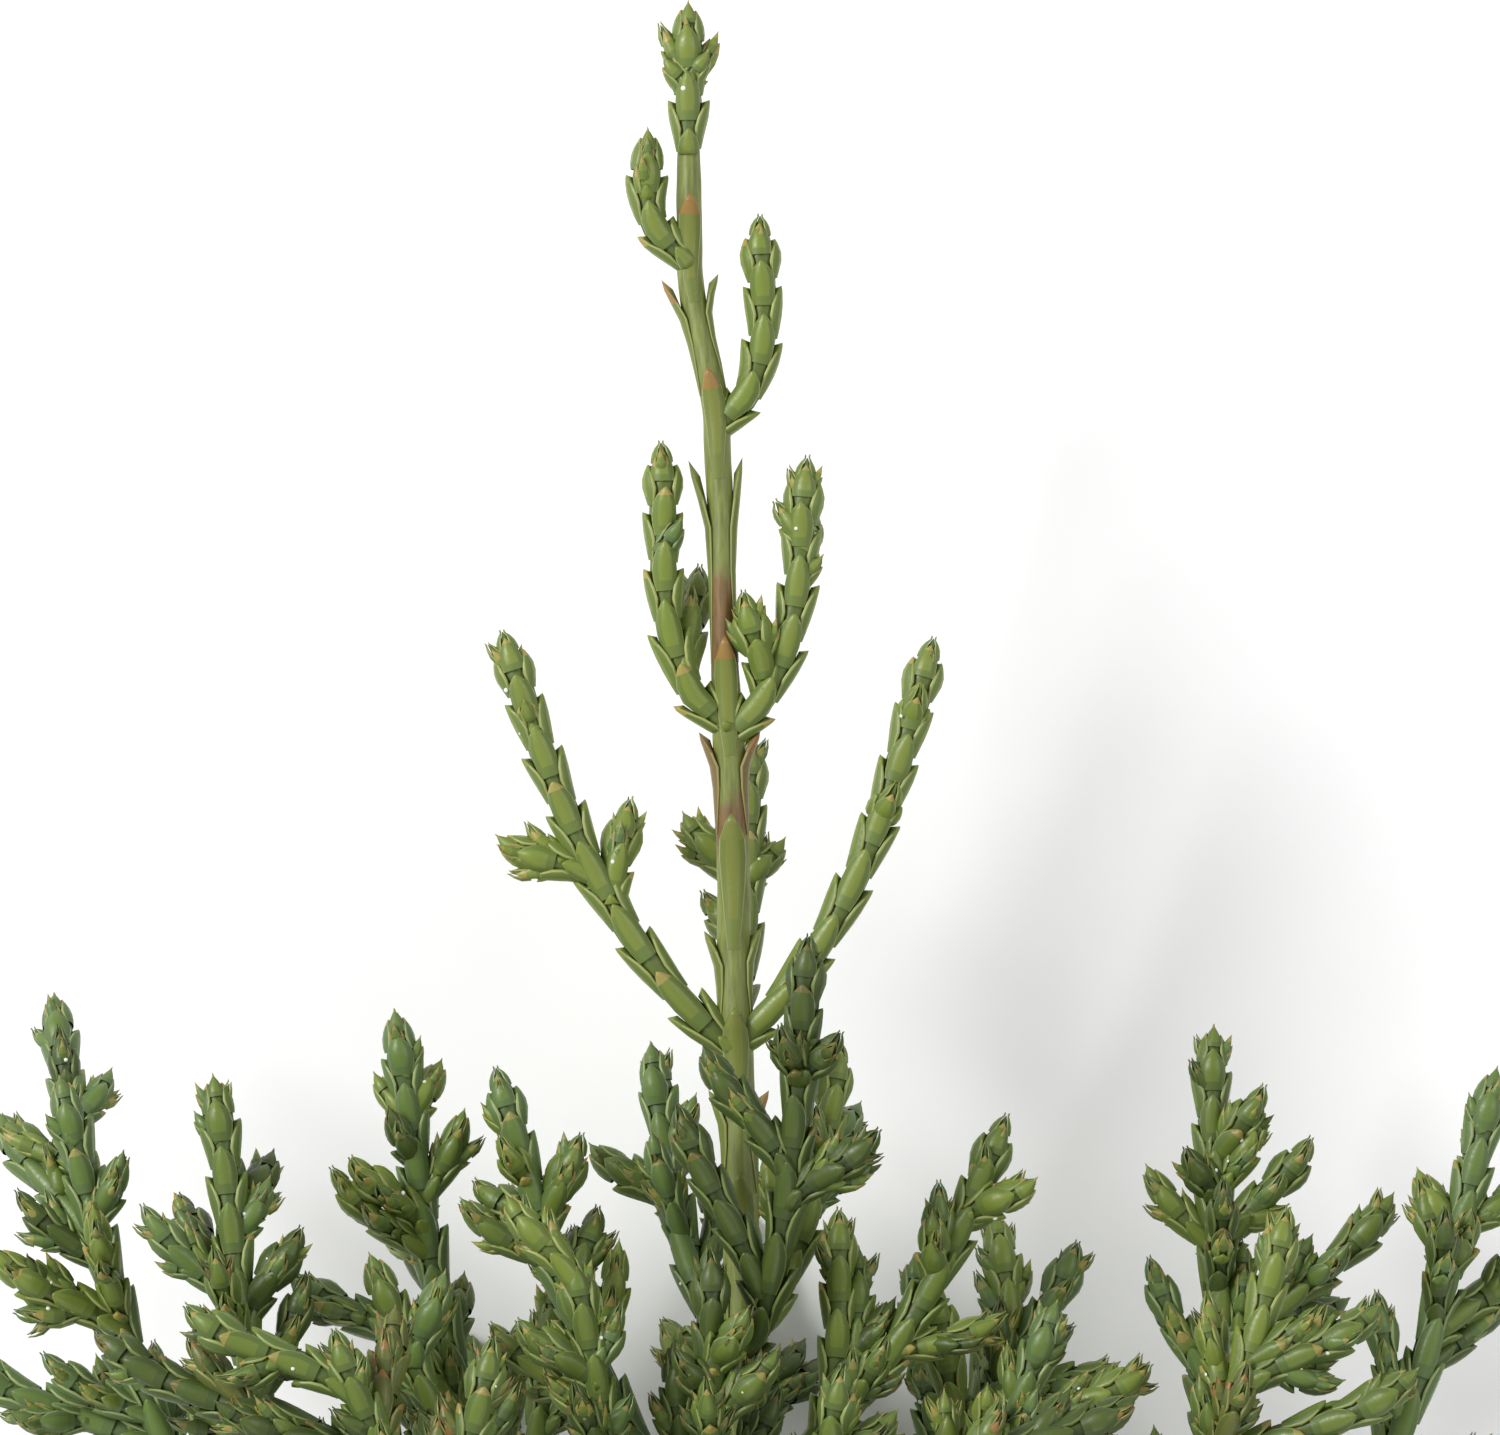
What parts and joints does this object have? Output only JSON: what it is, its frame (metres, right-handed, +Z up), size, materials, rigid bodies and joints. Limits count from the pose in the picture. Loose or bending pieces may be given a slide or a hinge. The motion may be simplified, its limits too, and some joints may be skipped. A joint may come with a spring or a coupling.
{
  "type": "cut leader shoot of a glauca arizona cypress",
  "caption": "Cut top shoot of a blue-green arizona cypress: a straight leafy stem over crowded ascending side branchlets, lying on its back branchlets",
  "frame": {"origin": "the middle of the shoot's outline seen from above, on the surface it lies on", "axes": "Y along the stem from the cut to the tip, X across it to the right as seen in the picture, Z up from the surface towards the picture's viewer"},
  "size_m": [0.0736, 0.1032, 0.0331],
  "materials": {
    "stem": "young yellow-green to red-brown bark under scale leaves, satin",
    "leaves": "blue-green scale leaves with a pale bloom, satin",
    "young_leaves": "young yellow-green scale leaves with ochre tips, satin"
  },
  "bodies": {
    "root": {"arm_left": "young_leaves", "arm_right": "young_leaves", "back": "leaves", "back_left": "leaves", "back_right": "leaves", "back_upper_left": "leaves", "back_upper_right": "leaves", "bough_back": "stem", "bough_back_left": "stem", "bough_back_right": "stem", "bough_edge_right": "stem", "bough_far_left": "stem", "bough_far_right": "stem", "bough_front_left": "stem", "bough_front_right": "stem", "bough_low_left": "stem", "bough_low_right": "stem", "bough_near_left": "stem", "bough_near_right": "stem", "crown_tip": "young_leaves", "edge_right": "leaves", "far_left": "leaves", "far_right": "leaves", "foot_back": "leaves", "foot_front": "leaves", "foot_left": "leaves", "foot_right": "leaves", "front": "leaves", "front_left": "leaves", "front_low": "leaves", "front_low_right": "leaves", "front_right": "leaves", "inner_left": "leaves", "inner_right": "leaves", "leader": "stem", "left": "leaves", "low_left": "leaves", "mid_left": "leaves", "mid_right": "leaves", "middle_back": "leaves", "near_left": "leaves", "near_right": "leaves", "right": "leaves", "top_left": "young_leaves", "top_right": "young_leaves", "upper_left": "young_leaves", "upper_right": "young_leaves"}
  },
  "joints": []
}
